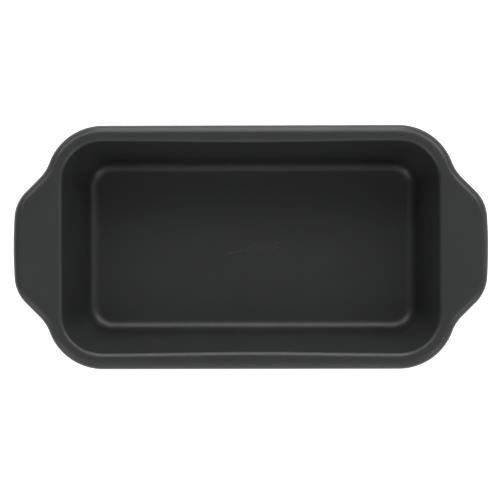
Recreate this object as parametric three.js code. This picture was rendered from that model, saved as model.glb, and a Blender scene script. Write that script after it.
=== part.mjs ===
// Loaf pan: a shell drawn from one steel sheet, with a flat flange that widens into two wing
// handles, and a stiffening wire that the shell's outer edge is rolled round.
// Millimetres, +Z up, +X along the pan's length. The origin is the middle of the underside.
import * as THREE from "three";

// Overall size.
const LENGTH = 295; // over the two handles
const WIDTH = 151.5; // over the two long rims
const HEIGHT = 70; // underside to flange top
const SHEET = 0.8; // thickness of the steel

// The floor outline is where the floor's fillet meets the wall.
const FLOOR_LENGTH = 210.4;
const FLOOR_WIDTH = 109.6;
const FLOOR_CORNER = 16.2;

// The mouth outline is where the wall meets the bend into the flange.
const MOUTH_LENGTH = 233.2;
const MOUTH_WIDTH = 130.3;
const MOUTH_CORNER = 24.8;
const MOUTH_BOW = 0.9; // how far each long side draws in at its middle

// The rim outline is the outer edge of the rolled rim, seen from above.
const RIM_STRAIGHT = 183.8; // straight part of a long side
const RIM_CORNER = 35.5;
const NECK_RADIUS = 26; // hollow between a corner and a handle
const NECK_TURN = THREE.MathUtils.degToRad(24.6);
const HANDLE_SLANT = THREE.MathUtils.degToRad(45);
const HANDLE_CORNER = 24;
const HANDLE_END_RADIUS = 305; // gentle bow of the handle's outer edge

// The sheet's section, measured on its upper face.
const FLOOR_FILLET = 7.8;
const FLANGE_BEND = 3.5;
const ROLL_SHOULDER = 5; // the rim turns down on this radius
const ROLL_RADIUS = 3; // and curls under on this one
const ROLL_END = THREE.MathUtils.degToRad(310); // total turn of the rolled edge

// The stiffening wire lies in the roll, with its two ends butted at the middle of a long side.
const WIRE_RADIUS = 1.9;
const WIRE_END_GAP = 1.2;

// Steps in a quarter of an outline, and in each arc of the section.
const LONG_SIDE_STEPS = 5;
const CORNER_STEPS = 9;
const END_STEPS = 15;
const FILLET_STEPS = 4;
const BEND_STEPS = 4;
const SHOULDER_STEPS = 4;
const CURL_STEPS = 9;
const WIRE_SIDES = 12;

// Rounds of correction that settle the walls' lean.
const LEAN_ROUNDS = 12;

// A straight run that draws in towards its start by a smooth bow, as a drawn wall does.
class BowedSide extends THREE.Curve {
  constructor(halfLength, halfWidth, bow) {
    super();
    Object.assign(this, { halfLength, halfWidth, bow });
  }

  getPoint(t) {
    const drawnIn = (this.bow * (1 + Math.cos(Math.PI * t))) / 2;
    return new THREE.Vector2(this.halfLength * t, this.halfWidth - drawnIn);
  }
}

// Each outline is described over the quarter with +X and +Y, in three parts: half a long side,
// the corner, and half an end. It runs clockwise, seen from above.
function roundedQuarter(length, width, corner, bow = 0) {
  const x = length / 2 - corner;
  const y = width / 2 - corner;
  return [
    new BowedSide(x, width / 2, bow),
    new THREE.EllipseCurve(x, y, corner, corner, Math.PI / 2, 0, true),
    new THREE.LineCurve(new THREE.Vector2(length / 2, y), new THREE.Vector2(length / 2, 0)),
  ];
}

function rimQuarter() {
  const top = WIDTH / 2;
  const direction = (angle) => new THREE.Vector2(Math.cos(angle), Math.sin(angle));
  const arc = (centre, radius, from, to) =>
    new THREE.EllipseCurve(centre.x, centre.y, radius, radius, from, to, to < from);

  // The corner turns past the slant, and the neck turns back to it.
  const slantNormal = Math.PI / 2 - HANDLE_SLANT;
  const neckNormal = slantNormal - NECK_TURN;
  const cornerCentre = new THREE.Vector2(RIM_STRAIGHT / 2, top - RIM_CORNER);
  const neckCentre = direction(neckNormal)
    .multiplyScalar(RIM_CORNER + NECK_RADIUS)
    .add(cornerCentre);
  const slantStart = direction(slantNormal + Math.PI)
    .multiplyScalar(NECK_RADIUS)
    .add(neckCentre);

  // The handle's corner touches the slant and, from inside, the handle's bowed end.
  const slant = direction(slantNormal - Math.PI / 2);
  const endCentre = new THREE.Vector2(LENGTH / 2 - HANDLE_END_RADIUS, 0);
  const inward = direction(slantNormal).multiplyScalar(-HANDLE_CORNER);
  const reach = slantStart.clone().add(inward).sub(endCentre);
  const along = reach.dot(slant);
  const slantLength =
    -along + Math.sqrt(along ** 2 - reach.lengthSq() + (HANDLE_END_RADIUS - HANDLE_CORNER) ** 2);
  const slantEnd = slantStart.clone().addScaledVector(slant, slantLength);
  const handleCentre = slantEnd.clone().add(inward);
  const endNormal = handleCentre.clone().sub(endCentre).angle();

  const end = new THREE.CurvePath();
  end.add(arc(neckCentre, NECK_RADIUS, neckNormal + Math.PI, slantNormal + Math.PI));
  end.add(new THREE.LineCurve(slantStart, slantEnd));
  end.add(arc(handleCentre, HANDLE_CORNER, slantNormal, endNormal));
  end.add(arc(endCentre, HANDLE_END_RADIUS, endNormal, 0));
  return [
    new BowedSide(RIM_STRAIGHT / 2, top, 0),
    arc(cornerCentre, RIM_CORNER, Math.PI / 2, neckNormal),
    end,
  ];
}

// Points of a quarter outline with their outward normals, from the long side's middle to the
// end's middle. All outlines have the same number, so that they can be joined.
function sampleQuarter(parts) {
  const counts = [LONG_SIDE_STEPS, CORNER_STEPS, END_STEPS];
  const samples = parts.flatMap((part, i) =>
    Array.from({ length: counts[i] }, (_, k) => sampleAt(part, k / counts[i])),
  );
  samples.push(sampleAt(parts.at(-1), 1));
  samples[0].normal.set(0, 1);
  samples.at(-1).normal.set(1, 0);
  return samples;
}

function sampleAt(part, u) {
  const tangent = part.getTangentAt(u);
  return { point: part.getPointAt(u), normal: new THREE.Vector2(-tangent.y, tangent.x) };
}

// A whole outline from its quarter, clockwise from the middle of the +Y side.
function wholeOutline(quarter) {
  const mirrored = (samples, x, y) =>
    samples.map(({ point, normal }) => ({
      point: new THREE.Vector2(point.x * x, point.y * y),
      normal: new THREE.Vector2(normal.x * x, normal.y * y),
    }));
  const forward = quarter.slice(0, -1);
  const backward = quarter.slice(1).reverse();
  return [
    ...mirrored(forward, 1, 1),
    ...mirrored(backward, 1, -1),
    ...mirrored(forward, -1, -1),
    ...mirrored(backward, -1, 1),
  ];
}

const OUTLINES = {
  floor: wholeOutline(sampleQuarter(roundedQuarter(FLOOR_LENGTH, FLOOR_WIDTH, FLOOR_CORNER))),
  mouth: wholeOutline(
    sampleQuarter(roundedQuarter(MOUTH_LENGTH, MOUTH_WIDTH, MOUTH_CORNER, MOUTH_BOW)),
  ),
  rim: wholeOutline(sampleQuarter(rimQuarter())),
};
const STATIONS = OUTLINES.rim.map((_, i) => i);

// How far the wall leans out from the vertical at a station. The arcs at its two ends take up
// part of the height, and how much depends on the lean, so the lean is found in rounds.
function wallLean(station) {
  const floor = OUTLINES.floor[station];
  const run = OUTLINES.mouth[station].point.clone().sub(floor.point).dot(floor.normal);
  let lean = 0;
  for (let round = 0; round < LEAN_ROUNDS; round++) {
    const arcs = (FLOOR_FILLET + FLANGE_BEND) * (1 - Math.sin(lean));
    lean = Math.atan2(run, HEIGHT - SHEET - arcs);
  }
  return lean;
}

// The sheet's upper face from the floor's flat to the end of the roll, for one wall lean. Each
// point is a distance outside an outline and a height. Turn is the sheet's slope there: 0 is
// level with the upper face up, and it falls as the edge rolls over and under.
function sheetSection(lean) {
  const rise = Math.PI / 2 - lean;
  const shares = (steps) => Array.from({ length: steps + 1 }, (_, k) => k / steps);
  const fillet = shares(FILLET_STEPS).map((share) => {
    const turn = rise * share;
    const out = FLOOR_FILLET * (Math.sin(turn) - Math.sin(rise));
    return { outline: "floor", out, z: SHEET + FLOOR_FILLET * (1 - Math.cos(turn)), turn };
  });
  const bend = shares(BEND_STEPS).map((share) => {
    const turn = rise * (1 - share);
    const out = FLANGE_BEND * (Math.sin(rise) - Math.sin(turn));
    return { outline: "mouth", out, z: HEIGHT - FLANGE_BEND * (1 - Math.cos(turn)), turn };
  });
  const shoulder = shares(SHOULDER_STEPS).map((share) => {
    const turn = (-Math.PI / 2) * share;
    const out = -ROLL_SHOULDER * (1 + Math.sin(turn));
    return { outline: "rim", out, z: HEIGHT - ROLL_SHOULDER * (1 - Math.cos(turn)), turn };
  });
  const curl = shares(CURL_STEPS).map((share) => {
    const turn = -Math.PI / 2 - (ROLL_END - Math.PI / 2) * share;
    const out = -ROLL_RADIUS * (1 + Math.sin(turn));
    return { outline: "rim", out, z: HEIGHT - ROLL_SHOULDER + ROLL_RADIUS * Math.cos(turn), turn };
  });
  return [...fillet, ...bend, ...shoulder, ...curl.slice(1)];
}

// The place of a section point at a station, sunk below the upper face by a depth.
function placeOn(station, { outline, out, z, turn }, depth) {
  const { point, normal } = OUTLINES[outline][station];
  const plan = point.clone().addScaledVector(normal, out + depth * Math.sin(turn));
  return new THREE.Vector3(plan.x, plan.y, z - depth * Math.cos(turn));
}

// A closed skin over a row of rings with equal numbers of points: quads join the rings in
// turn, and a fan round its middle closes the first and the last.
function skin(rings) {
  const size = rings[0].length;
  const middle = (ring) =>
    ring.reduce((sum, point) => sum.add(point), new THREE.Vector3()).divideScalar(size);
  const points = [...rings.flat(), middle(rings[0]), middle(rings.at(-1))];
  const firstMiddle = points.length - 2;
  const lastMiddle = points.length - 1;
  const lastRing = (rings.length - 1) * size;
  const index = [];
  for (let k = 0; k < size; k++) {
    const next = (k + 1) % size;
    index.push(firstMiddle, next, k);
    index.push(lastMiddle, lastRing + k, lastRing + next);
    for (let ring = 0; ring < lastRing; ring += size) {
      index.push(ring + k, ring + next, ring + size + next);
      index.push(ring + k, ring + size + next, ring + size + k);
    }
  }
  const geometry = new THREE.BufferGeometry().setFromPoints(points).setIndex(index);
  geometry.computeVertexNormals();
  return geometry;
}

// The shell: the sheet's upper face outwards from the floor, then its lower face back again.
function panShell() {
  const sections = STATIONS.map((station) => sheetSection(wallLean(station)));
  const ringAt = (row, depth) =>
    STATIONS.map((station) => placeOn(station, sections[station][row], depth));
  const rows = sections[0].map((_, row) => row);
  const upper = rows.map((row) => ringAt(row, 0));
  const lower = rows.map((row) => ringAt(row, SHEET)).reverse();
  return skin([...upper, ...lower]);
}

const WIRE_CENTRE = { outline: "rim", out: -ROLL_RADIUS, z: HEIGHT - ROLL_SHOULDER, turn: 0 };

// The wire follows the roll all round, from one side of its butted ends to the other.
function rimWire() {
  const path = [...STATIONS, 0].map((station) => placeOn(station, WIRE_CENTRE, 0));
  path[0].x = WIRE_END_GAP / 2;
  path.at(-1).x = -WIRE_END_GAP / 2;
  const rings = path.map((centre, i) => {
    const { normal } = OUTLINES.rim[i % STATIONS.length];
    return Array.from({ length: WIRE_SIDES }, (_, k) => {
      const angle = (2 * Math.PI * k) / WIRE_SIDES;
      const across = WIRE_RADIUS * Math.cos(angle);
      const up = WIRE_RADIUS * Math.sin(angle);
      return new THREE.Vector3(normal.x * across, normal.y * across, up).add(centre);
    });
  });
  return skin(rings);
}

// Materials: a dark non-stick coating baked on the shell, and a bare steel wire.
const nonstick = new THREE.MeshStandardMaterial({ color: 0x3a3c3b, roughness: 0.5, metalness: 0 });
const bareSteel = new THREE.MeshStandardMaterial({ color: 0x9a9b9c, roughness: 0.35, metalness: 1 });

function node(name, geometry, material) {
  const mesh = new THREE.Mesh(geometry, material);
  mesh.name = name;
  return mesh;
}

const pan = new THREE.Group();
pan.add(node("pan_shell", panShell(), nonstick));
pan.add(node("rim_wire", rimWire(), bareSteel));

export default pan;
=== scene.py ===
"""The loaf pan's looks: a fine shell and rim wire in place of the faceted CAD solids, their
materials, and a plain bright studio. Metres, +Z up, in the CAD model's frame."""
from math import asin, atan, cos, pi, radians, sin, sqrt
from typing import NamedTuple

import bpy
import numpy as np
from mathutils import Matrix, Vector


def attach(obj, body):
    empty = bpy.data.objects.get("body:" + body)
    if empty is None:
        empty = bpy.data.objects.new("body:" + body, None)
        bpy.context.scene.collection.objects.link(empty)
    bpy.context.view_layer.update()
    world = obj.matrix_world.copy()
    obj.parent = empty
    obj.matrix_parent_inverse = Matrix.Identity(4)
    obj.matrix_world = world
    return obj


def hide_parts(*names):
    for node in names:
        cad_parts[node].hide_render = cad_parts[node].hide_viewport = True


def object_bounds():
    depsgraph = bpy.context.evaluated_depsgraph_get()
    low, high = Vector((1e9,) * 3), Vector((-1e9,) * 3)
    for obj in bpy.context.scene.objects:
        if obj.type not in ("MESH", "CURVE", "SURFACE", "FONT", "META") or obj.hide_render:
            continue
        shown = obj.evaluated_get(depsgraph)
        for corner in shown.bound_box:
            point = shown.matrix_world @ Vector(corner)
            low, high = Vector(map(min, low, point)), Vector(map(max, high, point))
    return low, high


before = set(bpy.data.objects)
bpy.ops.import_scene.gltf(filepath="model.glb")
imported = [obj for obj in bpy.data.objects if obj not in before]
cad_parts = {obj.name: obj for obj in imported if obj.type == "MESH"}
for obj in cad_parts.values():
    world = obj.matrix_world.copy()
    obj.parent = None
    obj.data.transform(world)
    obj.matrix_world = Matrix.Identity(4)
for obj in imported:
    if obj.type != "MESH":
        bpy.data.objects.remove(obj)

MM = 0.001
CAD_LOW, CAD_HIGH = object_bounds()
LENGTH, WIDTH, HEIGHT = CAD_HIGH - CAD_LOW

# The pan's driving dimensions, as in the CAD model.
SHEET = 0.8 * MM
FLOOR_LENGTH = 210.4 * MM
FLOOR_WIDTH = 109.6 * MM
FLOOR_CORNER = 16.2 * MM
MOUTH_LENGTH = 233.2 * MM
MOUTH_WIDTH = 130.3 * MM
MOUTH_CORNER = 24.8 * MM
MOUTH_BOW = 0.9 * MM
RIM_STRAIGHT = 183.8 * MM
RIM_CORNER = 35.5 * MM
NECK_RADIUS = 26 * MM
NECK_TURN = radians(24.6)
HANDLE_SLANT = radians(45)
HANDLE_CORNER = 24 * MM
HANDLE_END_RADIUS = 305 * MM
FLOOR_FILLET = 7.8 * MM
FLANGE_BEND = 3.5 * MM
ROLL_SHOULDER = 5 * MM
ROLL_RADIUS = 3 * MM
ROLL_END = radians(310)
WIRE_RADIUS = 1.9 * MM
WIRE_END_GAP = 1.2 * MM

# Steps in a quarter of an outline (half a side, a corner and half an end), in the parts of the
# sheet's section, round the wire, and across the floor outside the emblem and over it.
QUARTER_STEPS = (16, 30, 60)
FILLET_STEPS = 12
WALL_STEPS = 8
BEND_STEPS = 12
FLANGE_STEPS = 4
SHOULDER_STEPS = 12
CURL_STEPS = 28
WIRE_SIDES = 24
WIDE_FLOOR_STEPS = 6
FINE_FLOOR_STEPS = 60

LEAN_ROUNDS = 12  # of correction, which settle the walls' lean
ROUNDING = 1e-9  # metres, far less than any step along an outline
SHARP_EDGE = radians(50)  # edges that turn more than this aren't shaded smooth
RUBBED_SHARE = 5 / 7  # of the roll's section, from its shoulder on

# A faint ear of wheat embossed in the middle of the floor.
EMBLEM_CENTRE = np.array([0, -1.5 * MM])
EMBLEM_TURN = radians(12)
EMBLEM_LENGTH = 34 * MM
EMBLEM_RELIEF = 0.09 * MM
EMBLEM_SHARE = 0.24  # of the floor's flat, in each direction, holds the emblem
BARE_STEM_SHARE = 0.34  # of the emblem's length has no grains
STROKE_FALL = 1.5  # how gently a stroke's sides run out, as a power
STEM_HALF_WIDTH = 0.55 * MM
GRAIN_PAIRS = 6
GRAIN_LENGTH = 4.6 * MM
GRAIN_SPLAY = radians(32)
GRAIN_HALF_WIDTH = 1.15 * MM
TIP_HALF_WIDTH = 0.4 * MM


# ---------------------------------------------------------------- outlines

def line_run(start, end):
    """A straight run: its length, and a function from distances along it to points and normals."""
    length = np.linalg.norm(end - start)
    along = (end - start) / length
    normal = np.array([-along[1], along[0]])
    return length, lambda s: (start + np.outer(s, along), np.tile(normal, (len(s), 1)))


def arc_run(centre, radius, first_normal, last_normal):
    """A round run between two angles of its outward normal. A negative radius makes a hollow."""
    length = abs(radius * (last_normal - first_normal))

    def at(s):
        angle = first_normal + (last_normal - first_normal) * s / length
        normals = np.stack([np.cos(angle), np.sin(angle)], axis=1)
        return centre + radius * normals, normals

    return length, at


def bowed_run(half_length, y, bow):
    """Half a long side, drawn in by a smooth bow towards its middle."""
    def at(s):
        angle = pi * s / half_length
        points = np.stack([s, y - bow * (1 + np.cos(angle)) / 2], axis=1)
        slope = bow * pi / (2 * half_length) * np.sin(angle)
        normals = np.stack([-slope, np.ones_like(s)], axis=1)
        return points, normals / np.linalg.norm(normals, axis=1, keepdims=True)

    return half_length, at


def rounded_quarter(length, width, corner, bow=0.0):
    """The +X +Y quarter of a rounded rectangle, clockwise: half a side, a corner, half an end."""
    x = length / 2 - corner
    y = width / 2 - corner
    return [
        [bowed_run(x, width / 2, bow)],
        [arc_run(np.array([x, y]), corner, pi / 2, 0)],
        [line_run(np.array([length / 2, y]), np.array([length / 2, 0]))],
    ]


def direction(angle):
    """The unit vector at an angle from +X towards +Y."""
    return np.array([cos(angle), sin(angle)])


def rim_quarter():
    """The same quarter of the rim's outer edge, which runs out round the handle."""
    slant_normal = pi / 2 - HANDLE_SLANT
    neck_normal = slant_normal - NECK_TURN
    corner_centre = np.array([RIM_STRAIGHT / 2, WIDTH / 2 - RIM_CORNER])
    neck_centre = corner_centre + (RIM_CORNER + NECK_RADIUS) * direction(neck_normal)
    slant_start = neck_centre - NECK_RADIUS * direction(slant_normal)

    # The handle's corner touches the slant and, from inside, the handle's bowed end.
    slant = direction(slant_normal - pi / 2)
    end_centre = np.array([LENGTH / 2 - HANDLE_END_RADIUS, 0])
    inward = -HANDLE_CORNER * direction(slant_normal)
    reach = slant_start + inward - end_centre
    along = reach @ slant
    slant_length = -along + sqrt(along**2 - reach @ reach + (HANDLE_END_RADIUS - HANDLE_CORNER)**2)
    slant_end = slant_start + slant_length * slant
    handle_centre = slant_end + inward
    end_normal = asin(handle_centre[1] / (HANDLE_END_RADIUS - HANDLE_CORNER))
    return [
        [bowed_run(RIM_STRAIGHT / 2, WIDTH / 2, 0.0)],
        [arc_run(corner_centre, RIM_CORNER, pi / 2, neck_normal)],
        [
            arc_run(neck_centre, -NECK_RADIUS, neck_normal, slant_normal),
            line_run(slant_start, slant_end),
            arc_run(handle_centre, HANDLE_CORNER, slant_normal, end_normal),
            arc_run(end_centre, HANDLE_END_RADIUS, end_normal, 0),
        ],
    ]


def sample_runs(runs, distances):
    """Points and normals at distances along a chain of runs."""
    points = np.empty((len(distances), 2))
    normals = np.empty((len(distances), 2))
    start = 0.0
    for length, at in runs:
        here = distances >= start - ROUNDING
        points[here], normals[here] = at(distances[here] - start)
        start += length
    return points, normals


def whole_outline(quarter):
    """Points and outward normals all round, clockwise from the middle of the +Y side."""
    parts = []
    for runs, steps in zip(quarter, QUARTER_STEPS):
        length = sum(run_length for run_length, _ in runs)
        parts.append(sample_runs(runs, np.arange(steps) / steps * length))
    # The middle of the +X end closes the quarter.
    parts.append(sample_runs(runs, np.array([length])))
    points = np.vstack([part[0] for part in parts])
    normals = np.vstack([part[1] for part in parts])

    def mirrored(values):
        forward, backward = values[:-1], values[:0:-1]
        turns = ((forward, (1, 1)), (backward, (1, -1)), (forward, (-1, -1)), (backward, (-1, 1)))
        return np.vstack([half * sign for half, sign in turns])

    return mirrored(points), mirrored(normals)


OUTLINES = {
    "floor": whole_outline(rounded_quarter(FLOOR_LENGTH, FLOOR_WIDTH, FLOOR_CORNER)),
    "mouth": whole_outline(rounded_quarter(MOUTH_LENGTH, MOUTH_WIDTH, MOUTH_CORNER, MOUTH_BOW)),
    "rim": whole_outline(rim_quarter()),
}
STATIONS = len(OUTLINES["rim"][0])


# ---------------------------------------------------------------- the sheet's section

def wall_leans():
    """How far the wall leans out at each station. The arcs at its ends take up part of the
    height, and how much depends on the lean, so it is settled in rounds."""
    floor, normals = OUTLINES["floor"]
    run = np.sum((OUTLINES["mouth"][0] - floor) * normals, axis=1)
    lean = np.zeros(STATIONS)
    for _ in range(LEAN_ROUNDS):
        lean = np.arctan2(run, HEIGHT - SHEET - (FLOOR_FILLET + FLANGE_BEND) * (1 - np.sin(lean)))
    return lean


def ring(outline, out, z, turn):
    """A ring of the upper face: its points, and the sheet's outward and upward normal."""
    points, normals = OUTLINES[outline]
    out, z, turn = (np.broadcast_to(value, STATIONS)[:, None] for value in (out, z, turn))
    place = np.hstack([points + normals * out, z])
    facing = np.hstack([-normals * np.sin(turn), np.cos(turn)])
    return place, facing


def between(first, last, steps):
    """Rings spread evenly between two others."""
    for share in np.arange(1, steps) / steps:
        facing = first[1] * (1 - share) + last[1] * share
        facing /= np.linalg.norm(facing, axis=1, keepdims=True)
        yield first[0] * (1 - share) + last[0] * share, facing


def sheet_rings():
    """The upper face's rings, from the floor's flat to the end of the roll."""
    rise = pi / 2 - wall_leans()
    fillet = []
    for share in np.linspace(0, 1, FILLET_STEPS + 1):
        turn = rise * share
        out = FLOOR_FILLET * (np.sin(turn) - np.sin(rise))
        fillet.append(ring("floor", out, SHEET + FLOOR_FILLET * (1 - np.cos(turn)), turn))
    bend = []
    for share in np.linspace(0, 1, BEND_STEPS + 1):
        turn = rise * (1 - share)
        out = FLANGE_BEND * (np.sin(rise) - np.sin(turn))
        bend.append(ring("mouth", out, HEIGHT - FLANGE_BEND * (1 - np.cos(turn)), turn))
    roll = []
    for turn in np.linspace(0, pi / 2, SHOULDER_STEPS + 1):
        z = HEIGHT - ROLL_SHOULDER * (1 - cos(turn))
        roll.append(ring("rim", -ROLL_SHOULDER * (1 - sin(turn)), z, -turn))
    for turn in np.linspace(pi / 2, ROLL_END, CURL_STEPS + 1)[1:]:
        z = HEIGHT - ROLL_SHOULDER + ROLL_RADIUS * cos(turn)
        roll.append(ring("rim", -ROLL_RADIUS * (1 - sin(turn)), z, -turn))
    return [
        *fillet,
        *between(fillet[-1], bend[0], WALL_STEPS),
        *bend,
        *between(bend[-1], roll[0], FLANGE_STEPS),
        *roll,
    ]


# ---------------------------------------------------------------- meshes

def skin(name, rings):
    """A closed mesh over a row of rings: quads join them, and a fan closes each end."""
    size = len(rings[0])
    points = np.vstack([*rings, rings[0].mean(axis=0), rings[-1].mean(axis=0)])
    first_middle, last_middle = len(points) - 2, len(points) - 1
    here = np.arange(size)
    there = np.roll(here, -1)
    faces = []
    for base in range(0, (len(rings) - 1) * size, size):
        quads = np.stack([base + here, base + there, base + size + there, base + size + here], 1)
        faces.extend(quads.tolist())
    last = (len(rings) - 1) * size
    faces.extend([first_middle, there[k], here[k]] for k in range(size))
    faces.extend([last_middle, last + here[k], last + there[k]] for k in range(size))
    mesh = bpy.data.meshes.new(name)
    mesh.from_pydata(points.tolist(), [], [[int(i) for i in face] for face in faces])
    mesh.shade_smooth()
    mesh.set_sharp_from_angle(angle=SHARP_EDGE)
    piece = bpy.data.objects.new(name, mesh)
    bpy.context.scene.collection.objects.link(piece)
    return piece


def emblem_strokes():
    """The strokes of an ear of wheat, each as its start, end and half widths, in metres."""
    stem_start = np.array([-EMBLEM_LENGTH / 2, 0])
    stem_end = np.array([EMBLEM_LENGTH / 2 - GRAIN_LENGTH, 0])
    strokes = [(stem_start, stem_end, STEM_HALF_WIDTH, STEM_HALF_WIDTH)]
    first_grain = stem_start[0] + BARE_STEM_SHARE * EMBLEM_LENGTH
    for x in np.linspace(first_grain, stem_end[0], GRAIN_PAIRS):
        for side in (-1, 1):
            root = np.array([x, side * STEM_HALF_WIDTH])
            tip = root + GRAIN_LENGTH * np.array([cos(GRAIN_SPLAY), side * sin(GRAIN_SPLAY)])
            strokes.append((root, tip, GRAIN_HALF_WIDTH, TIP_HALF_WIDTH))
    strokes.append((stem_end, stem_end + [GRAIN_LENGTH, 0], GRAIN_HALF_WIDTH, TIP_HALF_WIDTH))
    return strokes


def emblem_height(points):
    """How far the embossed ear of wheat stands up from the floor at points in plan."""
    turned = np.array([[cos(EMBLEM_TURN), sin(EMBLEM_TURN)], [-sin(EMBLEM_TURN), cos(EMBLEM_TURN)]])
    local = (points - EMBLEM_CENTRE) @ turned.T
    height = np.zeros(len(points))
    for start, end, first_width, last_width in emblem_strokes():
        run = end - start
        share = np.clip((local - start) @ run / (run @ run), 0, 1)
        distance = np.linalg.norm(local - start - share[:, None] * run, axis=1)
        half_width = first_width + (last_width - first_width) * share
        rounded = np.clip(1 - (distance / half_width)**2, 0, 1)**STROKE_FALL
        height = np.maximum(height, EMBLEM_RELIEF * rounded)
    return height


def floor_rings(edge):
    """Rings that shrink from the edge of the floor's flat to its middle, close together where
    the emblem stands up."""
    wide = np.linspace(1, EMBLEM_SHARE, WIDE_FLOOR_STEPS + 1)[1:]
    fine = np.linspace(EMBLEM_SHARE, 0, FINE_FLOOR_STEPS + 1)[1:-1]
    for share in [*wide, *fine]:
        place = edge * [share, share, 1]
        place[:, 2] += emblem_height(place[:, :2])
        yield place


def pan_shell():
    """The sheet: floor, walls and flange, with its edge rolled under round the wire."""
    upper = sheet_rings()
    inner = list(floor_rings(upper[0][0]))
    lower = [place - SHEET * facing for place, facing in reversed(upper)]
    piece = skin("fine_pan_shell", [*reversed(inner), *(place for place, _ in upper), *lower])

    # The coating is marked where hands and gloves rub it: the outer side of the roll.
    rolled = SHOULDER_STEPS + 1 + CURL_STEPS
    rub = np.zeros(len(inner) + 2 * len(upper))
    start = len(inner) + len(upper) - rolled
    rub[start:start + rolled] = np.clip(np.sin(np.linspace(0, pi / RUBBED_SHARE, rolled)), 0, 1)
    values = np.append(np.repeat(rub, STATIONS), [0, 0])
    handled = piece.data.attributes.new("handled", "FLOAT", "POINT")
    handled.data.foreach_set("value", values)
    return piece


def rim_wire():
    """The wire, from one side of its butted ends round to the other."""
    centres, _ = ring("rim", -ROLL_RADIUS, HEIGHT - ROLL_SHOULDER, 0)
    centres = np.vstack([centres, centres[0]])
    centres[0, 0] = WIRE_END_GAP / 2
    centres[-1, 0] = -WIRE_END_GAP / 2
    normals = np.vstack([OUTLINES["rim"][1], OUTLINES["rim"][1][0]])
    angles = np.linspace(0, 2 * pi, WIRE_SIDES, endpoint=False)
    rings = []
    for centre, normal in zip(centres, normals):
        across = WIRE_RADIUS * np.cos(angles)[:, None] * normal
        rings.append(centre + np.hstack([across, WIRE_RADIUS * np.sin(angles)[:, None]]))
    return skin("fine_rim_wire", rings)


# ---------------------------------------------------------------- materials

class Layer(NamedTuple):
    """A layer of noise that varies a value: its waves per metre, its detail, and the lowest and
    highest value."""
    waves: float
    detail: float
    low: float
    high: float


class Relief(NamedTuple):
    """A layer of noise that stands up from the surface: the same, with its depth in metres."""
    waves: float
    detail: float
    depth: float


# The middle of a noise's range, which a layer spreads from its lowest to its highest value.
NOISE_LOW, NOISE_HIGH = 0.3, 0.7

COATING_COLOUR = (0.0232, 0.0242, 0.0242)
COATING_MOTTLE = Layer(35, 3, 0.95, 1.05)
COATING_GRAINS = Layer(2600, 2, 0.92, 1.08)
COATING_ROUGHNESS = Layer(60, 4, 0.38, 0.42)
COATING_FINE_ROUGHNESS = Layer(1800, 2, -0.02, 0.02)
COATING_RUB = Layer(90, 5, 0, 0.06)
COATING_PEEL = Relief(700, 2, 0.006 * MM)
COATING_FINE_PEEL = Relief(3200, 2, 0.0015 * MM)

STEEL_COLOUR = (0.33, 0.33, 0.34)
STEEL_PATCHES = Layer(150, 4, 0.8, 1.1)
STEEL_ROUGHNESS = Layer(900, 3, 0.28, 0.42)
STEEL_SCRATCHES = Relief(4000, 2, 0.003 * MM)
SCRATCH_STRETCH = (0.05, 0.05, 1)

WHITE = (1, 1, 1, 1)
PALE = (0.9, 0.9, 0.9, 1)
PALE_ROUGHNESS = 0.9


def new_material(name):
    material = bpy.data.materials.new(name)
    material.use_nodes = True
    return material.node_tree, material.node_tree.nodes["Principled BSDF"], material


def connect(tree, source, target):
    tree.links.new(source, target)


def noise(tree, layer, stretch=(1, 1, 1)):
    """A layer's noise over the object's own coordinates."""
    place = tree.nodes.new("ShaderNodeTexCoord")
    mapping = tree.nodes.new("ShaderNodeMapping")
    mapping.inputs["Scale"].default_value = stretch
    texture = tree.nodes.new("ShaderNodeTexNoise")
    texture.inputs["Scale"].default_value = layer.waves
    texture.inputs["Detail"].default_value = layer.detail
    connect(tree, place.outputs["Object"], mapping.inputs["Vector"])
    connect(tree, mapping.outputs["Vector"], texture.inputs["Vector"])
    return texture.outputs["Fac"]


def spread(tree, layer):
    """A layer's noise, as values from its lowest to its highest."""
    node = tree.nodes.new("ShaderNodeMapRange")
    node.inputs["From Min"].default_value = NOISE_LOW
    node.inputs["From Max"].default_value = NOISE_HIGH
    node.inputs["To Min"].default_value = layer.low
    node.inputs["To Max"].default_value = layer.high
    connect(tree, noise(tree, layer), node.inputs["Value"])
    return node.outputs["Result"]


def bump(tree, relief, under=None, stretch=(1, 1, 1)):
    """A relief in the surface, over another one if that is given."""
    node = tree.nodes.new("ShaderNodeBump")
    node.inputs["Distance"].default_value = relief.depth
    connect(tree, noise(tree, relief, stretch), node.inputs["Height"])
    if under is not None:
        connect(tree, under, node.inputs["Normal"])
    return node.outputs["Normal"]


def arithmetic(tree, operation, first, second):
    """Two values, combined over the surface."""
    node = tree.nodes.new("ShaderNodeMath")
    node.operation = operation
    connect(tree, first, node.inputs[0])
    connect(tree, second, node.inputs[1])
    return node.outputs["Value"]


def tinted(tree, colour, brightness):
    """A colour, made lighter or darker over the surface."""
    node = tree.nodes.new("ShaderNodeVectorMath")
    node.operation = "SCALE"
    node.inputs[0].default_value = colour
    connect(tree, brightness, node.inputs["Scale"])
    return node.outputs["Vector"]


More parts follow.
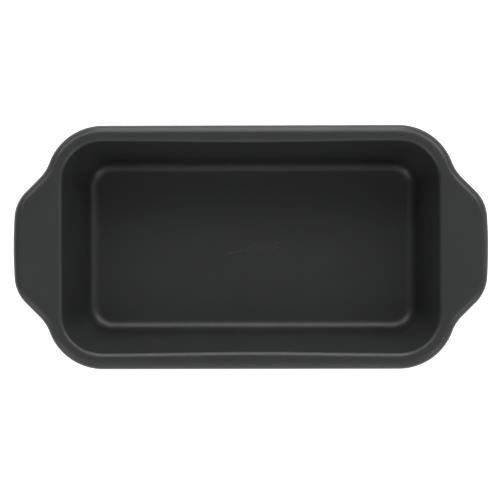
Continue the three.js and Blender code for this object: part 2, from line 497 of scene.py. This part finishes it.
def nonstick_material():
    """A baked charcoal coating: slightly mottled, with a sprayed orange-peel surface that holds
    finer grains, and rubbed smoother where the rim is handled."""
    tree, shader, material = new_material("nonstick")
    mottle = spread(tree, COATING_MOTTLE)
    grains = spread(tree, COATING_GRAINS)
    colour = tinted(tree, COATING_COLOUR, arithmetic(tree, "MULTIPLY", mottle, grains))
    connect(tree, colour, shader.inputs["Base Color"])

    handled = tree.nodes.new("ShaderNodeAttribute")
    handled.attribute_name = "handled"
    rubbed = arithmetic(tree, "MULTIPLY", handled.outputs["Fac"], spread(tree, COATING_RUB))
    rough = arithmetic(tree, "SUBTRACT", spread(tree, COATING_ROUGHNESS), rubbed)
    rough = arithmetic(tree, "ADD", rough, spread(tree, COATING_FINE_ROUGHNESS))
    connect(tree, rough, shader.inputs["Roughness"])

    peel = bump(tree, COATING_PEEL)
    connect(tree, bump(tree, COATING_FINE_PEEL, under=peel), shader.inputs["Normal"])
    return material


def wire_material():
    """Bare drawn steel, with dull patches and fine scratches from the die."""
    tree, shader, material = new_material("steel_wire")
    shader.inputs["Metallic"].default_value = 1
    colour = tinted(tree, STEEL_COLOUR, spread(tree, STEEL_PATCHES))
    connect(tree, colour, shader.inputs["Base Color"])
    connect(tree, spread(tree, STEEL_ROUGHNESS), shader.inputs["Roughness"])
    scratches = bump(tree, STEEL_SCRATCHES, stretch=SCRATCH_STRETCH)
    connect(tree, scratches, shader.inputs["Normal"])
    return material


def glowing_material(name, glow):
    """A pale, matt and evenly lit surface."""
    tree, shader, material = new_material(name)
    shader.inputs["Base Color"].default_value = PALE
    shader.inputs["Roughness"].default_value = PALE_ROUGHNESS
    shader.inputs["Emission Color"].default_value = WHITE
    shader.inputs["Emission Strength"].default_value = glow
    return material


# ---------------------------------------------------------------- studio

# The camera looks almost straight down, from a little right of the pan's middle and behind it.
CAMERA_PLACE = Vector((0.046, 0.021, HEIGHT + 2.2))
CAMERA_AIM = Vector((-0.0002, -0.0018, HEIGHT))
CAMERA_ROLL = radians(-0.13)
CAMERA_LENS = 255.6


def make_camera():
    data = bpy.data.cameras.new("camera")
    data.lens = CAMERA_LENS
    camera = bpy.data.objects.new("camera", data)
    camera.location = CAMERA_PLACE

    # A camera with no rotation looks along -Z, so two small turns aim it and a third rolls it.
    towards = CAMERA_AIM - CAMERA_PLACE
    camera.rotation_euler = (atan(-towards.y / towards.z), atan(towards.x / towards.z), CAMERA_ROLL)
    bpy.context.scene.collection.objects.link(camera)
    bpy.context.scene.camera = camera


# The stage reaches this far to each side of the pan, and its walls stand as high.
STAGE_REACH = 3
FLOOR_GLOW = 0.65
CARD_GLOW = 0.4
CARD_DROP = 1 * MM
BACKDROP_GLOW = 1
WORLD_STRENGTH = 0.15

# Soft square panels stand all round the pan, and most of their light comes from behind it. Each
# row has their azimuths from +X towards +Y and their elevations, in degrees, and the power of each
# panel in watts.
PANEL_DISTANCE = 2.4
PANEL_SIZE = 0.9
PANELS = {
    "back_low": ([90], [12, 24], 8.6),
    "back_high": ([90], [48], 13),
    "back_right": ([45], [36, 48], 8.9),
    "back_left": ([135], [36, 48], 5.9),
    "right": ([0], [24], 4.2),
    "front": ([270], [24], 5.6),
    "front_sides": ([225, 315], [24, 36], 5.3),
    "front_high": ([225, 270, 315], [60], 2.1),
}


def make_panel(name, azimuth, elevation, power):
    data = bpy.data.lights.new(name, "AREA")
    data.size = PANEL_SIZE
    data.energy = power
    panel = bpy.data.objects.new(name, data)
    away = Vector((cos(azimuth) * cos(elevation), sin(azimuth) * cos(elevation), sin(elevation)))
    panel.location = away * PANEL_DISTANCE
    panel.rotation_mode = "QUATERNION"
    panel.rotation_quaternion = away.to_track_quat("Z", "Y")
    panel.visible_camera = False
    bpy.context.scene.collection.objects.link(panel)


def make_lights():
    for name, (azimuths, elevations, power) in PANELS.items():
        for azimuth in azimuths:
            for elevation in elevations:
                make_panel(name, radians(azimuth), radians(elevation), power)


def stage_piece(name, points, faces, material):
    mesh = bpy.data.meshes.new(name)
    mesh.from_pydata(points, [], faces)
    mesh.materials.append(material)
    piece = bpy.data.objects.new(name, mesh)
    bpy.context.scene.collection.objects.link(piece)
    return piece


def square_corners(height):
    """The corners of the level square that the stage stands on, at a height."""
    signs = [(-1, -1), (1, -1), (1, 1), (-1, 1)]
    return [(x * STAGE_REACH, y * STAGE_REACH, height) for x, y in signs]


def make_floor():
    """The floor that the camera sees, and under it a dimmer card for the pan to mirror, so that
    the white floor doesn't light up the rim's steep outer edge."""
    square = [(0, 1, 2, 3)]
    floor_look = glowing_material("pale_floor", FLOOR_GLOW)
    floor = stage_piece("floor", square_corners(0), square, floor_look)
    floor.visible_glossy = False
    card_look = glowing_material("grey_card", CARD_GLOW)
    card = stage_piece("grey_card", square_corners(-CARD_DROP), square, card_look)
    card.visible_camera = False
    card.visible_diffuse = False


def make_backdrop():
    """White walls round the floor, which light nothing. Only a view from low down sees them."""
    walls = [(k, (k + 1) % 4, (k + 1) % 4 + 4, k + 4) for k in range(4)]
    look = glowing_material("white_backdrop", BACKDROP_GLOW)
    points = square_corners(0) + square_corners(STAGE_REACH)
    backdrop = stage_piece("backdrop", points, walls, look)
    backdrop.visible_diffuse = False
    backdrop.visible_glossy = False
    backdrop.visible_shadow = False


def make_world():
    world = bpy.data.worlds.new("studio")
    world.use_nodes = True
    background = world.node_tree.nodes["Background"]
    background.inputs["Color"].default_value = WHITE
    background.inputs["Strength"].default_value = WORLD_STRENGTH
    bpy.context.scene.world = world


shell = pan_shell()
shell.data.materials.append(nonstick_material())
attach(shell, "root")
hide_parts("pan_shell")

wire = rim_wire()
wire.data.materials.append(wire_material())
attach(wire, "root")
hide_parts("rim_wire")

make_camera()
make_floor()
make_backdrop()
make_world()
make_lights()
bpy.context.scene.view_settings.view_transform = "Standard"
